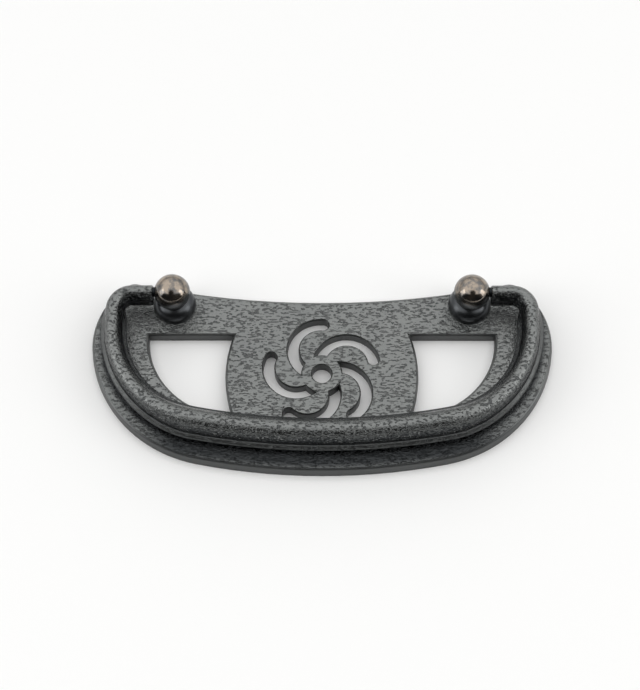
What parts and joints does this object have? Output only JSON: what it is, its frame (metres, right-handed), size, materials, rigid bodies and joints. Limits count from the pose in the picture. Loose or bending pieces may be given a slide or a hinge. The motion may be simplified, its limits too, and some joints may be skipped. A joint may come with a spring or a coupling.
{
  "type": "bail pull with backplate",
  "caption": "Drop bail pull: a swinging half-round bail hangs from ball posts on a curved backplate pierced with windows and a whirl.",
  "frame": {"origin": "on the plate's flat back, midway between the two posts", "axes": "+X along the plate's width, -Y from the posts towards the hanging grip, +Z out of the back through the balls"},
  "size_m": [0.118, 0.0524, 0.0154],
  "materials": {
    "cast_coat": "black-coated rough cast iron",
    "turned_black": "smooth glossy black"
  },
  "bodies": {
    "mounting": {"backplate": "cast_coat", "left_post": "turned_black", "right_post": "turned_black"},
    "bail": {"bail": "cast_coat"}
  },
  "joints": [
    {"name": "bail_swing", "type": "hinge", "parent": "mounting", "child": "bail", "pos_m": [0, 0, 0.0108], "axis": [-1, 0, 0], "range_deg": [0, 192]}
  ]
}
